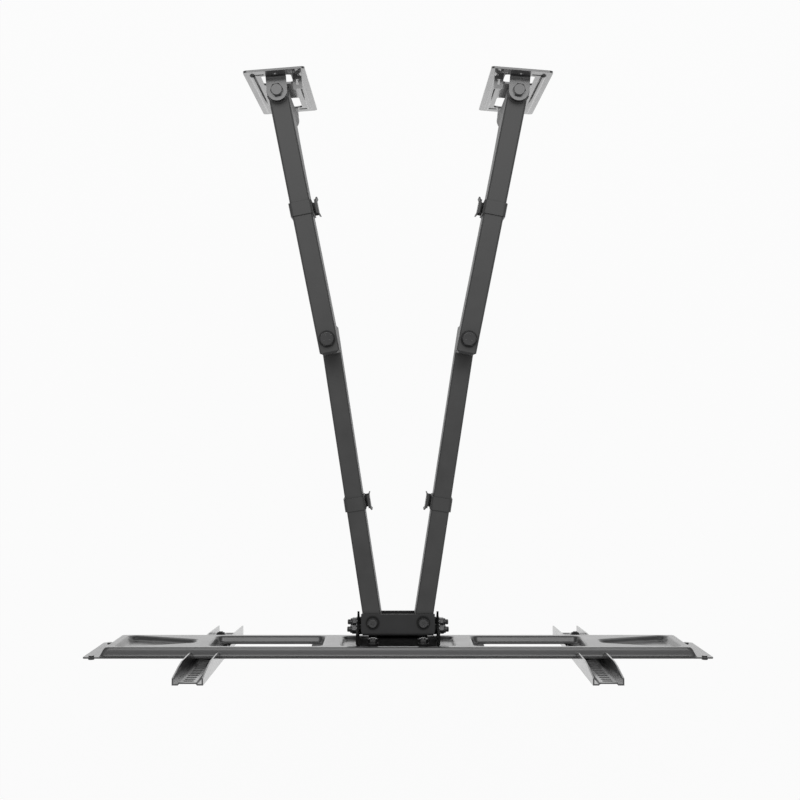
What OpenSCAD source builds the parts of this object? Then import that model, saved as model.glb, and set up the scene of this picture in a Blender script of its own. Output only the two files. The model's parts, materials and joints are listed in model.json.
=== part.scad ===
// Long-reach dual-arm television wall mount, seen in its extended pose.
// Frame: millimetres, +Z up, +Y into the wall, origin on the wall midway between the two wall plates.
// The left side is modelled and mirrored, because the two sides are handed copies.

/* [Pose as photographed] */
// Angle of each rear arm from straight out, as it stands
rear_angle = 11.3; // [6:0.1:16]
// Angle of each front arm from straight out, as it stands
front_angle = 8.7; // [5:0.1:14]
// Turn of each wall plate on its pivot, as it stands
plate_turn = 4.6; // [0:0.1:12]
// Backward lean of the television plate, as it stands
rest_tilt = 3.1; // [0:0.1:4]

/* [Arms] */
// Distance from wall pivot to elbow
rear_length = 360; // [300:5:440]
// Width of the rear arm tube
rear_width = 29; // [27:0.5:30]
// Height of the rear arm tube
rear_height = 60; // [50:1:62]
// Distance from elbow to hub pivot
front_length = 424; // [360:5:480]
// Width of the front arm tube
front_width = 27; // [24:0.5:28]
// Height of the front arm tube
front_height = 50; // [40:1:54]
// Wall of both arm tubes
tube_wall = 2.5; // [2:0.1:3]
// Radius of the tubes' long edges
tube_edge_r = 3; // [2.5:0.1:4]
// How far a tube and its cap run past the elbow
elbow_overrun = 22; // [18:0.5:28]
// Height between the rear arm and the front arm at the elbow
elbow_gap = 7; // [4:0.5:10]
// Length of the cheeks that carry the rear arm on its post
cheek_reach = 150; // [110:5:180]
// Depth of the cheeks below the rear arm tube
cheek_drop = 47; // [30:1:60]

/* [Wall plates] */
// Width of a wall plate
plate_w = 86.6; // [80:0.5:100]
// Height of a wall plate
plate_h = 270; // [260:2:300]
// Thickness of the wall plate sheet
plate_t = 3; // [2.5:0.1:4]
// Width of the stiffening bead along each side of a wall plate
plate_bead_w = 8; // [6:0.5:9]
// Distance from the wall to the wall pivot
pivot_off = 23.5; // [22.5:0.1:26]
// Height of the upper ear above the plate's middle
ear_z = 105; // [100:1:110]
// Width of an ear
ear_w = 29; // [26:0.5:32]
// Height of a wall fixing hole above the plate's middle
fix_z = 115.5; // [114:0.5:120]
// Radius of a round wall fixing hole
fix_r = 4.5; // [4:0.1:5]
// Width of a window in the wall plate
window_w = 43; // [38:1:46]
// Lower edge of the upper window above the plate's middle
window_high = 53; // [40:1:60]
// Upper edge of the lower window below the plate's middle
window_low = 37; // [30:1:50]

/* [Hub and tilt] */
// Distance of each hub pivot from the middle
hub_pivot_x = 37.5; // [34:0.5:42]
// Width of the hub
hub_w = 109.4; // [106:0.2:118]
// How far the hub reaches behind its pivots
hub_back = 12.6; // [10:0.2:16]
// How far the hub reaches in front of its pivots
hub_front = 20; // [18:0.5:24]
// Thickness of the hub sheet
hub_t = 3; // [2.5:0.1:4]
// Height of the tilt pivot below the hub's middle
tilt_drop = 39; // [39:1:44]
// Distance from tilt pivot to tilt lock bolt
lock_radius = 21; // [19:0.5:24]
// Sheet of the tilt yoke
yoke_t = 3; // [2.5:0.1:4]
// Gap between each hub ear and the yoke
yoke_gap = 4.8; // [3:0.2:6]
// Greatest tilt forward from the stored pose
tilt_down = 18; // [10:1:18]
// Greatest tilt back from the stored pose
tilt_up = 2; // [0:0.5:2]

/* [Television plate] */
// Length of the television plate
tv_w = 918; // [880:2:960]
// Height of the television plate
tv_h = 130; // [124:1:140]
// Sheet of the television plate
tv_t = 2; // [1.5:0.1:2.5]
// How far the television plate is pressed towards the wall
tv_press = 13; // [12.5:0.5:14]
// Flat lip above and below the pressed tray
tv_lip = 4.6; // [4.5:0.1:6]
// Flat lip at each end of the pressed tray
tv_end_lip = 22; // [16:1:30]
// Inner end of a window opening in the television plate
tv_window_in = 131; // [126:1:140]
// Outer end of a window opening in the television plate
tv_window_out = 268; // [250:1:270]
// Height of a window opening in the television plate
tv_window_h = 84; // [60:1:86]

/* [Television rails] */
// Length of a television rail
rail_len = 420; // [416:2:460]
// Width of a television rail
rail_w = 42; // [38:0.5:46]
// Sheet of a television rail
rail_t = 2; // [1.5:0.1:2.2]
// Place of each rail from the middle, as it stands
rail_x = 281; // [200:1:400]
// Space between the television plate and a rail's web
rail_space = 5.5; // [4.5:0.1:7]
// Height of a rail's flanges behind the television plate's front
rail_rise = 10.5; // [8:0.5:13]
// Height of a fixing slot in a rail
slot_h = 8.5; // [6.5:0.1:9]
// Length of a fixing slot in a rail
slot_w = 15; // [12:0.5:17]
// Distance between fixing slots in a rail
slot_pitch = 12.5; // [12.5:0.5:16]

/* [Cable clips] */
// Place of the rear arm's clip from the wall pivot
clip_rear_at = 169; // [160:1:260]
// Place of the front arm's clip from the elbow
clip_front_at = 247; // [120:1:300]
// Length of a clip along its arm
clip_len = 19.5; // [14:0.5:24]
// Wall of a clip
clip_t = 2; // [1.5:0.1:2.5]
// Space for cables between the arm and the clip's hook
clip_space = 5; // [4:0.5:8]

/* [Fasteners] */
// Radius of the wall pivot bolts
wall_bolt_r = 5; // [4:0.5:5]
// Radius of the elbow bolts
elbow_bolt_r = 6; // [5:0.5:6]
// Radius of the hub pivot bolts
hub_bolt_r = 5; // [4:0.5:5]
// Radius of the tilt bolts and the yoke bolts
small_bolt_r = 4; // [3:0.5:4]
// Thickness of the nylon washers at the wall pivots
nylon_t = 2; // [1.5:0.1:3]
// Running clearance round a pivot bolt
run = 0.1; // [0.05:0.01:0.1]
// Gap left between faces that slide on each other
slide_gap = 0.3; // [0.2:0.05:0.4]

/* [Hidden] */
$fn = 64;
cut = 1; // overshoot of a cutting tool past the face it cuts
hair = 0.01; // thickness of the slices that a rounded block is blended between
fit = 0.2; // radial room round a bolt in a piece that doesn't turn on it

// Pivots of the left side, worked out from the hub to the wall
wall_pivot = [-hub_pivot_x - front_length * sin(front_angle) - rear_length * sin(rear_angle),
    -pivot_off * cos(plate_turn)];
plate_x = wall_pivot.x - pivot_off * sin(plate_turn);
elbow = wall_pivot + rear_length * [sin(rear_angle), -cos(rear_angle)];
hub_pivot = elbow + front_length * [sin(front_angle), -cos(front_angle)];
hub_y = hub_pivot.y;

// Heights of the arms
front_top = front_height / 2;
rear_bottom = front_top + elbow_gap;
rear_top = rear_bottom + rear_height;
post_r = rear_width / 2 + 0.5;
post_h = 2 * (ear_z - plate_t - nylon_t - run);
post_wall = 4;
post_plug = 26;
sleeve_wall = 2.5;
cap_t = 3;
cap_plug = 8;
cap_corner_r = 7;

// Wall plate
plate_corner_r = 6;
plate_bead_x = plate_w / 2 - 11; // middle of a stiffening bead
plate_bead_end = 16; // from a bead's end to the plate's end
bend_r = 3; // inside radius of the folded ears
ear_root = plate_t + bend_r; // where the fold ends and the flat ear begins
bend_z = ear_z + bend_r;
window_top = ear_z + 1;
fix_slot_r = 3.5;
fix_slot_len = 15;
fix_slot_x = 23;
tie_tab = [13, 19, 3]; // small tab with a slot that takes a cable tie
tie_slot = [4, 8];
tie_x = 29.5;
tie_z = rear_top + 3;

// Hub
hub_inner = front_top + nylon_t + run; // height of the inner faces above the hub's middle
hub_outer = hub_inner + hub_t;
hub_bottom_short = 6.2; // the bottom plate stops short of the top plate
hub_fold_r = 5;
hub_corner_r = 8;
hub_ear_r = 9.8;
hub_ear_x = hub_w / 2; // outer face of an ear
tilt_ahead = 4; // the tilt pivot lies this far in front of the hub
tilt_y = hub_y - hub_front - tilt_ahead;
lock_angle = 20; // the lock bolt lies this far behind straight below the tilt pivot
lock_at = lock_radius * [sin(lock_angle), -cos(lock_angle)];
hub_washer_r = 10;
hub_washer_t = 2;

// Television plate in the head's frame, whose origin is the tilt pivot
tv_y = -26.8; // front of the flat lip
tv_z = 37.6; // middle of the plate
tv_back = tv_y + tv_t + tv_press;
recess = 5; // depth of the middle recess that the yoke sits in
recess_w = 164;
recess_h = 84;
wall_run = 3; // width of a steep pressed wall, seen from the front
end_run = 7; // width of the pressed slope at each end
window_depth = 9.5;
window_rim = [16, 9, 1]; // flat rim at the inner end, at the outer end, and above and below
pocket_depth = 7;
pocket = [412, 308]; // outer and inner end of a tapered end pocket
pocket_half = [47, 14]; // half height of the pocket at those ends
tv_corner_r = 3;
tray_corner_r = 9;

// Yoke
yoke_in = hub_ear_x + yoke_gap;
yoke_out = yoke_in + yoke_t;
yoke_bend = 8;
yoke_base_y = tv_back - recess; // where the yoke's base meets the plate
yoke_h = 74;
yoke_tail = 27; // how far the side plates reach behind the tilt pivot
yoke_bolt = [37.5, 22];
yoke_cheek_r = 11;

// Rails
rail_back = -rail_space; // inner face of the web
bead = 2; // how far the two long beads stand out from the web
bead_w = 8;
bead_slope = 2;
hook_lip = 3.5;
lock_plate_z = -tv_h / 2 - 24;
lock_plate_t = 3;
lock_screw_r = 3;
lock_y = tv_t + slide_gap + lock_screw_r + 1;
lock_knob = [lock_y - rail_back - lock_plate_t - 0.3, 9]; // radius, clear of the lock plate, and height
rail_end_rise = 0; // height of the flange at the upper end
rail_foot_rise = 6; // height of the flange tip at the lower end
rail_ramp = [47, 70]; // lengths of the two slopes at the upper end
rail_mid_rise = 8;
slots_from = 4; // the row of slots starts this many pitches from the middle
slots_to = 16;
stop_x = tv_w / 2 - 11;
stop_z = tv_h / 2 - 8;

LEFT = -1;
RIGHT = 1;
black = [0.10, 0.10, 0.10];
steel = [0.22, 0.22, 0.22];
arm_grey = [0.30, 0.30, 0.30];

// Placing

module on_side(side) {
    if (side == RIGHT) mirror([1, 0, 0]) children();
    else children();
}

module at_wall_plate(side) {
    on_side(side) translate([plate_x, 0, 0]) rotate([0, 0, plate_turn]) children();
}

// The arm runs along this frame's -Y from its pivot
module at_rear_arm(side) {
    on_side(side) translate([wall_pivot.x, wall_pivot.y, 0]) rotate([0, 0, rear_angle]) children();
}

module at_front_arm(side) {
    on_side(side) translate([elbow.x, elbow.y, 0]) rotate([0, 0, front_angle]) children();
}

module at_hub() {
    translate([0, hub_y, 0]) children();
}

module at_head() {
    translate([0, tilt_y, -tilt_drop]) rotate([-rest_tilt, 0, 0]) children();
}

module at_tv_plate() {
    at_head() translate([0, tv_y, tv_z]) children();
}

module at_rail(side) {
    at_tv_plate() on_side(side) translate([-rail_x, 0, 0]) children();
}

module both_sides() {
    children();
    mirror([1, 0, 0]) children();
}

module both_ends() {
    children();
    mirror([0, 0, 1]) children();
}

// Shapes that several pieces share

// Rectangle about the origin with true round corners
module round_rect(w, h, r) {
    square([w - 2 * r, h], center = true);
    square([w, h - 2 * r], center = true);
    for (x = [-1, 1], y = [-1, 1])
        translate([x * (w / 2 - r), y * (h / 2 - r)]) circle(r);
}

// Obround of overall length len along X and half width r
module obround(len, r) {
    square([len - 2 * r, 2 * r], center = true);
    for (x = [-1, 1])
        translate([x * (len / 2 - r), 0]) circle(r);
}

// A profile drawn in X and Z, standing along Y from y0 to y1
module along_y(y0, y1) {
    translate([0, y1, 0]) rotate([90, 0, 0]) linear_extrude(y1 - y0) children();
}

// A profile drawn in Y and Z, standing along X from x0 to x1
module along_x(x0, x1) {
    translate([x0, 0, 0]) rotate([90, 0, 90]) linear_extrude(x1 - x0) children();
}

// Hexagon head with a chamfered crown, standing up from the origin
module hex_head(across, height, chamfer = 1) {
    intersection() {
        cylinder(h = height, r = across / sqrt(3), $fn = 6);
        union() {
            cylinder(h = height - chamfer, r = across / sqrt(3) + cut);
            translate([0, 0, height - chamfer])
                cylinder(h = chamfer, r1 = across / sqrt(3), r2 = across / 2 - chamfer / 2);
        }
    }
}

// Nut with its bore, standing up from the origin
module hex_nut(across, height, bore_r) {
    difference() {
        hex_head(across, height);
        translate([0, 0, -cut]) cylinder(h = height + 2 * cut, r = bore_r);
    }
}

module washer(outer_r, bore_r, t) {
    difference() {
        cylinder(h = t, r = outer_r);
        translate([0, 0, -cut]) cylinder(h = t + 2 * cut, r = bore_r);
    }
}

// Block that shrinks by run_in from its foot to its top, with mitred corners, cut to a round-cornered outline,
// rising along +Y
module mitred_block(w, h, r, rise, run_in) {
    intersection() {
        linear_extrude(h + 2 * cut, center = true)
            polygon([[-w / 2, 0], [w / 2, 0], [w / 2 - run_in, rise], [-w / 2 + run_in, rise]]);
        along_x(-w / 2 - cut, w / 2 + cut)
            polygon([[0, -h / 2], [0, h / 2], [rise, h / 2 - run_in], [rise, -h / 2 + run_in]]);
        along_y(-cut, rise + cut) round_rect(w, h, r);
    }
}

// Wall plates

module plate_ear() {
    fold = [ear_root, bend_z];
    // the fold, a quarter ring drawn in Y and Z
    along_x(-ear_w / 2, ear_w / 2) translate([-fold.x, fold.y]) intersection() {
        difference() {
            circle(bend_r + plate_t);
            circle(bend_r);
        }
        translate([0, -bend_r - plate_t]) square(bend_r + plate_t);
    }
    // the flat ear with its round end
    translate([0, 0, ear_z - plate_t]) linear_extrude(plate_t) {
        translate([-ear_w / 2, -pivot_off]) square([ear_w, pivot_off - ear_root]);
        translate([0, -pivot_off]) circle(ear_w / 2);
    }
}

// Window from the given height up to the ear, notched for the ear's own fold
module plate_window(low) {
    along_y(-plate_t - cut, cut) {
        translate([0, (low + window_top) / 2])
            round_rect(window_w, window_top - low, 5);
        translate([-ear_w / 2, low + window_w / 4])
            square([ear_w, bend_z - low - window_w / 4]);
    }
}

module plate_fixings() {
    along_y(-plate_t - cut, cut) translate([0, fix_z]) {
        circle(fix_r);
        for (x = [-fix_slot_x, fix_slot_x])
            translate([x, 0]) obround(fix_slot_len, fix_slot_r);
    }
}

// Round-backed bead along one side, rising out of the plate's front
module plate_bead() {
    r = plate_bead_w / 2;
    long = plate_h / 2 - plate_bead_end - r;
    translate([0, 1 - plate_t, 0]) {
        cylinder(h = 2 * long, r = r, center = true);
        both_ends() translate([0, 0, long]) sphere(r);
    }
}

// Slotted tab beside the upper ear
module plate_tie_tab() {
    root = plate_t;
    translate([tie_x - tie_tab.x / 2, -root - tie_tab.y, tie_z]) difference() {
        cube([tie_tab.x, tie_tab.y + plate_t, tie_tab.z]);
        translate([(tie_tab.x - tie_slot.x) / 2, (tie_tab.y - tie_slot.y) / 2, -cut])
            cube([tie_slot.x, tie_slot.y, tie_tab.z + 2 * cut]);
    }
}

module wall_plate(side) {
    color(steel) at_wall_plate(side) {
        difference() {
            union() {
                along_y(-plate_t, 0) round_rect(plate_w, plate_h, plate_corner_r);
                intersection() {
                    for (x = [-plate_bead_x, plate_bead_x])
                        translate([x, 0, 0]) plate_bead();
                    translate([-plate_w, -plate_w, -plate_h]) cube([2 * plate_w, plate_w, 2 * plate_h]);
                }
            }
            plate_window(window_high);
            mirror([0, 0, 1]) plate_window(window_low);
            both_ends() plate_fixings();
        }
        both_ends() difference() {
            plate_ear();
            translate([0, -pivot_off, ear_z - plate_t - cut])
                cylinder(h = plate_t + 2 * cut, r = wall_bolt_r + run);
        }
        plate_tie_tab();
    }
}

// Hexagon bolts screwed into both ends of the post through the ears
module wall_pivot_bolts(side) {
    head = [16, 6.4];
    color(arm_grey) at_rear_arm(side) both_ends() {
        translate([0, 0, ear_z + run]) hex_head(head[0], head[1]);
        translate([0, 0, post_h / 2 - post_plug + 2])
            cylinder(h = ear_z + run - post_h / 2 + post_plug - 2 + hair, r = wall_bolt_r);
    }
}

module wall_pivot_washers(side) {
    color(black) at_rear_arm(side) both_ends()
        translate([0, 0, post_h / 2]) washer(post_r, wall_bolt_r + fit, nylon_t);
}

// Arms

// Hollow rectangular tube from y = 0 to y = -len, standing on z = 0
module box_tube(w, h, len) {
    translate([0, 0, h / 2]) along_y(-len, 0) difference() {
        round_rect(w, h, tube_edge_r);
        round_rect(w - 2 * tube_wall, h - 2 * tube_wall, tube_edge_r - tube_wall + 0.5);
    }
}

// Cheeks under the tube: side plates that sweep down to the post along a round edge
module rear_cheeks() {
    sweep_r = (cheek_drop * cheek_drop + cheek_reach * cheek_reach) / (2 * cheek_drop);
    for (x = [-rear_width / 2, rear_width / 2 - tube_wall])
        along_x(x, x + tube_wall) difference() {
            translate([-cheek_reach, rear_bottom - cheek_drop])
                square([cheek_reach, cheek_drop + tube_edge_r]);
            translate([-cheek_reach, rear_bottom - sweep_r]) circle(sweep_r, $fn = 128);
        }
}

module rear_arm(side) {
    reach = rear_length + elbow_overrun - cap_t;
    color(arm_grey) at_rear_arm(side) difference() {
        union() {
            difference() {
                union() {
                    translate([0, 0, rear_bottom]) box_tube(rear_width, rear_height, reach);
                    rear_cheeks();
                }
                translate([0, 0, -post_h / 2]) cylinder(h = post_h, r = post_r - hair);
                translate([-rear_width, 0, -post_h / 2]) cube([2 * rear_width, post_r, post_h]);
            }
            translate([0, 0, -post_h / 2]) cylinder(h = post_h, r = post_r);
            // the sleeve that the elbow bolt passes through
            translate([0, -rear_length, rear_bottom])
                cylinder(h = rear_height, r = elbow_bolt_r + fit + sleeve_wall);
        }
        // hollow of the post between its two plugs, and the plugs' threaded bores
        translate([0, 0, -post_h / 2 + post_plug])
            cylinder(h = post_h - 2 * post_plug, r = post_r - post_wall);
        translate([0, 0, -post_h / 2 - cut]) cylinder(h = post_h + 2 * cut, r = wall_bolt_r);
        translate([0, -rear_length, rear_bottom - cut])
            cylinder(h = rear_height + 2 * cut, r = elbow_bolt_r + fit);
    }
}

// Plastic end cap, with its visible corners rounded, and a plug inside the tube
module end_cap(w, h) {
    inset = tube_wall + fit;
    translate([0, 0, h / 2]) {
        intersection() {
            along_y(-cap_t, 0) round_rect(w, h, tube_edge_r);
            linear_extrude(h + 2 * cut, center = true) translate([0, 1.5 * cap_corner_r - cap_t])
                round_rect(w, 3 * cap_corner_r, cap_corner_r);
        }
        along_y(-hair, cap_plug) difference() {
            round_rect(w - 2 * inset, h - 2 * inset, 1);
            round_rect(w - 2 * inset - 4, h - 2 * inset - 4, 1);
        }
    }
}

module rear_arm_cap(side) {
    color(black) at_rear_arm(side)
        translate([0, -rear_length - elbow_overrun + cap_t, rear_bottom]) end_cap(rear_width, rear_height);
}

module front_arm(side) {
    // the hub end is cut round, so that it swings inside the hub
    color(arm_grey) at_front_arm(side) translate([0, 0, -front_top]) difference() {
        union() {
            intersection() {
                translate([0, elbow_overrun - cap_t, 0])
                    box_tube(front_width, front_height, front_length + elbow_overrun - cap_t + front_width);
                union() {
                    translate([-front_width, -front_length, 0])
                        cube([2 * front_width, front_length + elbow_overrun, front_height]);
                    translate([0, -front_length, 0]) cylinder(h = front_height, r = front_width / 2);
                }
            }
            cylinder(h = front_height, r = elbow_bolt_r + run + sleeve_wall);
            translate([0, -front_length, 0]) cylinder(h = front_height, r = hub_bolt_r + run + sleeve_wall);
        }
        translate([0, 0, -cut]) cylinder(h = front_height + 2 * cut, r = elbow_bolt_r + run);
        translate([0, -front_length, -cut]) cylinder(h = front_height + 2 * cut, r = hub_bolt_r + run);
    }
}

module front_arm_cap(side) {
    color(black) at_front_arm(side) translate([0, elbow_overrun - cap_t, -front_top])
        mirror([0, 1, 0]) end_cap(front_width, front_height);
}

// Elbow

elbow_washer_r = 12;
elbow_washer_t = 2.5;
elbow_nut_h = 10;
elbow_across = 19;

module elbow_bolt(side) {
    foot = -front_top - elbow_washer_t - elbow_nut_h - 3;
    color(arm_grey) at_front_arm(side) {
        translate([0, 0, rear_top + elbow_washer_t]) hex_head(elbow_across, 7.5, 1.4);
        translate([0, 0, foot]) cylinder(h = rear_top + elbow_washer_t + hair - foot, r = elbow_bolt_r);
    }
}

// One washer under the head, the thick one between the arms, and one above the nut
module elbow_washers(side) {
    bore = elbow_bolt_r + run;
    color(black) at_front_arm(side) {
        translate([0, 0, rear_top]) washer(elbow_washer_r, bore, elbow_washer_t);
        translate([0, 0, front_top + run]) washer(elbow_washer_r, bore, elbow_gap - run);
        translate([0, 0, -front_top - elbow_washer_t]) washer(elbow_washer_r, bore, elbow_washer_t - run);
    }
}

module elbow_nut(side) {
    color(steel) at_front_arm(side) translate([0, 0, -front_top - elbow_washer_t - elbow_nut_h])
        hex_nut(elbow_across, elbow_nut_h, elbow_bolt_r);
}

// Cable clips

// Section of a clip round a tube w by h that stands about the origin, with its hook on the +X side
module clip_section(w, h) {
    room = slide_gap;
    outer = [w / 2 + room + clip_t, h / 2 + room + clip_t];
    hook_x = outer.x + clip_space;
    hook_top = h / 2 - 8;
    hook_low = hook_top - 30;
    difference() {
        round_rect(2 * outer.x, 2 * outer.y, tube_edge_r + room + clip_t);
        round_rect(w + 2 * room, h + 2 * room, tube_edge_r + room);
        // the clip snaps on through this gap below the tube
        translate([0, -outer.y]) square([w - 8, 4 * clip_t], center = true);
    }
    translate([outer.x - clip_t / 2, hook_low]) square([clip_space + 1.5 * clip_t, clip_t]);
    translate([hook_x, hook_low]) square([clip_t, hook_top - hook_low]);
    translate([hook_x - clip_space / 3, hook_top - clip_t]) square([clip_space / 3 + clip_t / 2, clip_t]);
}

// The hook's outer wall flares at both of its ends, so that a cable slips in
module clip_flares(w, h) {
    x0 = w / 2 + slide_gap + clip_t + clip_space;
    hook_top = h / 2 - 8;
    flare = 3;
    for (end = [-1, 1])
        translate([x0, end * clip_len / 2, hook_top - 30]) linear_extrude(30)
            polygon([[0, 0], [clip_t, 0], [clip_t + flare * 0.6, end * flare], [flare * 0.6, end * flare]]);
}

module cable_clip(w, h) {
    color(black) {
        along_y(-clip_len / 2, clip_len / 2) clip_section(w, h);
        clip_flares(w, h);
    }
}

module rear_cable_clip(side) {
    at_rear_arm(side) translate([0, -clip_rear_at, rear_bottom + rear_height / 2])
        cable_clip(rear_width, rear_height);
}

module front_cable_clip(side) {
    at_front_arm(side) translate([0, -clip_front_at, 0]) cable_clip(front_width, front_height);
}

// Hub

// The folded section, drawn in Y and Z: top plate, front web and a shorter bottom plate
module hub_section() {
    difference() {
        translate([-hub_front, -hub_outer]) {
            translate([hub_fold_r, 0]) square([hub_front + hub_back - hub_fold_r, 2 * hub_outer]);
            translate([0, hub_fold_r]) square([hub_fold_r + 1, 2 * (hub_outer - hub_fold_r)]);
            for (z = [hub_fold_r, 2 * hub_outer - hub_fold_r])
                translate([hub_fold_r, z]) circle(hub_fold_r);
        }
        translate([-hub_front + hub_t, -hub_inner]) square([hub_front + hub_back, 2 * hub_inner]);
        translate([hub_back - hub_bottom_short, -hub_outer - cut])
            square([hub_bottom_short + cut, hub_outer]);
    }
}

// Outline of the hub from above, with its front corners rounded
module hub_outline() {
    difference() {
        translate([-hub_w / 2, -hub_front]) square([hub_w, hub_front + hub_back]);
        for (x = [-1, 1])
            translate([x * (hub_w / 2 - hub_corner_r), -hub_front + hub_corner_r]) difference() {
                translate([x > 0 ? 0 : -hub_corner_r - cut, -hub_corner_r - cut])
                    square(hub_corner_r + cut);
                circle(hub_corner_r);
            }
    }
}

// Ear below the bottom plate, drawn in Y and Z about the tilt pivot
module hub_ear() {
    along_x(hub_ear_x - hub_t, hub_ear_x) difference() {
        hull() {
            circle(hub_ear_r);
            translate(lock_at) circle(hub_ear_r);
            translate([tilt_ahead + hub_front + hub_back - hub_bottom_short - 3, tilt_drop - hub_inner - 3])
                circle(3);
            translate([tilt_ahead + hub_corner_r, tilt_drop - hub_inner - 3]) circle(3);
        }
        circle(small_bolt_r + fit);
        translate(lock_at) circle(small_bolt_r + fit);
    }
}

module hub_housing() {
    color(steel) difference() {
        union() {
            at_hub() intersection() {
                along_x(-hub_w / 2, hub_w / 2) hub_section();
                linear_extrude(2 * hub_outer + 2 * cut, center = true) hub_outline();
            }
            both_sides() translate([0, tilt_y, -tilt_drop]) hub_ear();
        }
        at_hub() both_sides() translate([hub_pivot_x, 0, -hub_outer - cut])
            cylinder(h = 2 * hub_outer + 2 * cut, r = hub_bolt_r + fit);
    }
}

// Round-headed bolts with a hexagon socket
module hub_pivot_bolts() {
    head = [7.8, 5.5];
    socket = [6, 3.5];
    top = hub_outer + hub_washer_t;
    foot = -hub_outer - hub_washer_t - 8 - 2;
    color(arm_grey) at_hub() both_sides() translate([hub_pivot_x, 0, 0]) {
        translate([0, 0, top]) difference() {
            union() {
                cylinder(h = head[1] - 2, r = head[0]);
                translate([0, 0, head[1] - 2]) cylinder(h = 2, r1 = head[0], r2 = head[0] - 2);
            }
            translate([0, 0, head[1] - socket[1]])
                cylinder(h = socket[1] + cut, r = socket[0] / sqrt(3), $fn = 6);
        }
        translate([0, 0, foot]) cylinder(h = top + hair - foot, r = hub_bolt_r);
    }
}

module hub_pivot_washers() {
    color(black) at_hub() both_sides() translate([hub_pivot_x, 0, 0]) {
        translate([0, 0, hub_outer]) washer(hub_washer_r, hub_bolt_r + fit, hub_washer_t);
        translate([0, 0, -hub_outer - hub_washer_t]) washer(hub_washer_r, hub_bolt_r + fit, hub_washer_t);
    }
}

module hub_nylon_washers(side) {
    color(black) at_front_arm(side) translate([0, -front_length, 0]) both_ends()
        translate([0, 0, front_top]) washer(hub_washer_r, hub_bolt_r + run, nylon_t);
}

module hub_pivot_nuts() {
    color(steel) at_hub() both_sides()
        translate([hub_pivot_x, 0, -hub_outer - hub_washer_t - 8]) hex_nut(16, 8, hub_bolt_r);
}

// Tilt

// Places a fastener of each side on the tilt pivot and on the lock bolt, pointing outwards along Z
module at_tilt_bolts() {
    both_sides() translate([0, tilt_y, -tilt_drop]) for (at = [[0, 0], lock_at])
        translate([0, at[0], at[1]]) rotate([0, 90, 0]) children();
}

small_across = 13;
small_nut_h = 6.5;
small_washer = [8, 1.6];
tilt_nut_x = yoke_out + slide_gap + small_washer[1];

module tilt_bolts() {
    head_x = hub_ear_x - hub_t;
    color(arm_grey) at_tilt_bolts() {
        translate([0, 0, head_x]) mirror([0, 0, 1]) hex_head(small_across, 5.3);
        translate([0, 0, head_x - hair]) cylinder(h = tilt_nut_x + small_nut_h + 4 - head_x, r = small_bolt_r);
    }
}

module tilt_spacers() {
    color(black) at_tilt_bolts() translate([0, 0, hub_ear_x])
        washer(small_washer[0], small_bolt_r + fit, yoke_gap - slide_gap);
}

module tilt_washers() {
    color(steel) at_tilt_bolts() translate([0, 0, yoke_out + slide_gap])
        washer(small_washer[0], small_bolt_r + fit, small_washer[1]);
}

module tilt_nuts() {
    color(steel) at_tilt_bolts() translate([0, 0, tilt_nut_x]) hex_nut(small_across, small_nut_h, small_bolt_r);
}

// Curved slot that lets the yoke turn past the lock bolt, drawn in Y and Z about the tilt pivot
module tilt_slot() {
    spare = 1.5;
    // the bolt's angle from straight below, in the yoke's own frame
    from = lock_angle + rest_tilt - tilt_down - spare;
    to = lock_angle + rest_tilt + tilt_up + spare;
    r = small_bolt_r + run;
    intersection() {
        difference() {
            circle(lock_radius + r);
            circle(lock_radius - r);
        }
        polygon([[0, 0],
            2 * lock_radius * [sin(from), -cos(from)],
            2 * lock_radius * [sin(to), -cos(to)]]);
    }
    for (a = [from, to])
        translate(lock_radius * [sin(a), -cos(a)]) circle(r);
}

module tilt_yoke() {
    base_in = yoke_base_y + yoke_t + 1; // inner face of the base, which is a little thicker sheet
    color(steel) at_head() difference() {
        union() {
            // the folded U, drawn from above
            translate([0, 0, tv_z - yoke_h / 2]) linear_extrude(yoke_h) difference() {
                union() {
                    translate([-yoke_out, yoke_base_y + yoke_bend]) square([2 * yoke_out, yoke_bend + 4]);
                    translate([-yoke_out + yoke_bend, yoke_base_y])
                        square([2 * (yoke_out - yoke_bend), yoke_bend + 1]);
                    for (x = [-1, 1])
                        translate([x * (yoke_out - yoke_bend), yoke_base_y + yoke_bend]) circle(yoke_bend);
                }
                translate([-yoke_in, base_in + 5]) square([2 * yoke_in, 30]);
                translate([-yoke_in + 5, base_in]) square([2 * (yoke_in - 5), 30]);
                for (x = [-1, 1])
                    translate([x * (yoke_in - 5), base_in + 5]) circle(5);
            }
            // the side plates that carry the tilt bolts
            both_sides() along_x(yoke_in, yoke_out) {
                hull() {
                    circle(yoke_cheek_r);
                    translate([yoke_tail - 4, -2]) circle(4);
                    translate(lock_radius * [sin(lock_angle - 6), -cos(lock_angle - 6)]) circle(10);
                }
                hull() {
                    circle(yoke_cheek_r);
                    translate([yoke_base_y + yoke_bend, tv_z - yoke_h / 2]) square([1, yoke_h]);
                }
            }
        }
        for (x = [-yoke_out, yoke_in])
            along_x(x - cut, x + yoke_t + cut) {
                circle(small_bolt_r + run);
                tilt_slot();
            }
        at_yoke_bolts() along_y(-10, 10) circle(small_bolt_r + fit);
    }
}

// Places a fastener on each bolt that holds the yoke on the television plate, at the plate's recess
module at_yoke_bolts() {
    for (x = [-yoke_bolt.x, yoke_bolt.x], z = [-yoke_bolt.y, yoke_bolt.y])
        translate([x, yoke_base_y, tv_z + z]) children();
}

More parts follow.
